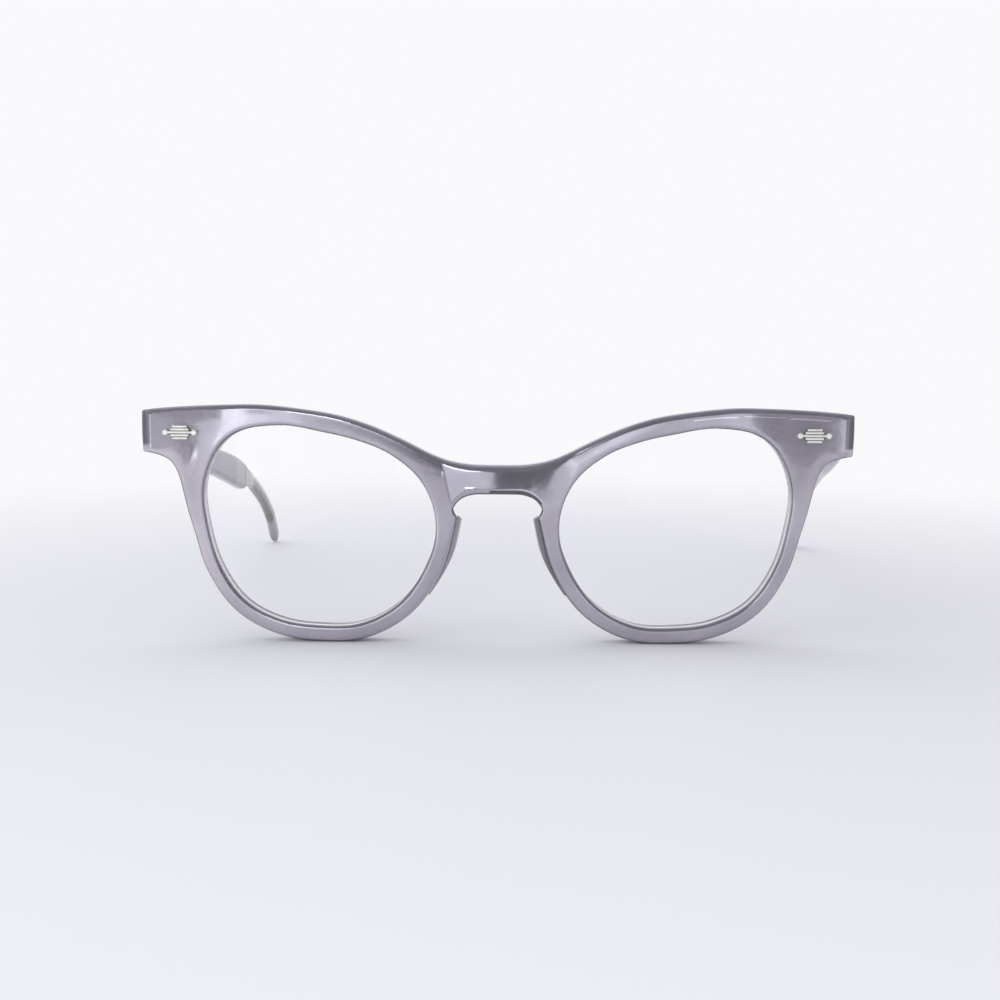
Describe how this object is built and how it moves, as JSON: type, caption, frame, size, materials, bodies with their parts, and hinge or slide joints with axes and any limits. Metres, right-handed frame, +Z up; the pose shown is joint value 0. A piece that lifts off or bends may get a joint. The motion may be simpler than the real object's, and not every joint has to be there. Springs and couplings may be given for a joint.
{
  "type": "cat eye eyeglasses",
  "caption": "Cat eye eyeglasses with a flared acetate front, keyhole bridge, built-up nose pads, ribbed metal plaques and folding wire-core temples.",
  "frame": {"origin": "middle of the nose saddle: on the plane of symmetry of the front, at the underside of the bridge, halfway through the sheet", "axes": "+X to the picture's right (the wearer's left) along the front; +Y back along the temples, square to the front's flat face; +Z up"},
  "size_m": [0.1576, 0.1234, 0.0464],
  "materials": {
    "acetate": "polished translucent smoke-lilac acetate",
    "lens": "clear, polished, uncoated",
    "silver": "bright silver-plated, softly worn",
    "nickel": "nickel silver, satin",
    "core_wire": "drawn nickel silver, seen dark through the plastic"
  },
  "bodies": {
    "front": {"front_frame": "acetate", "lens_left": "lens", "lens_right": "lens", "nose_pad_left": "acetate", "nose_pad_right": "acetate", "plaque_left": "silver", "plaque_right": "silver", "plaque_pins_left": "silver", "plaque_pins_right": "silver", "front_hinge_left": "nickel", "front_hinge_right": "nickel", "hinge_screw_left": "nickel", "hinge_screw_right": "nickel"},
    "temple_body_left": {"temple_left": "acetate", "temple_hinge_left": "nickel", "temple_rivets_left": "nickel", "temple_core_left": "core_wire"},
    "temple_body_right": {"temple_right": "acetate", "temple_hinge_right": "nickel", "temple_rivets_right": "nickel", "temple_core_right": "core_wire"}
  },
  "joints": [
    {"name": "temple_left_hinge", "type": "hinge", "parent": "front", "child": "temple_body_left", "pos_m": [-0.0643, 0.0038, 0.0117], "axis": [0, 0, -1], "range_deg": [0, 88]},
    {"name": "temple_right_hinge", "type": "hinge", "parent": "front", "child": "temple_body_right", "pos_m": [0.0643, 0.0038, 0.0117], "axis": [0, 0, 1], "range_deg": [0, 90]}
  ]
}
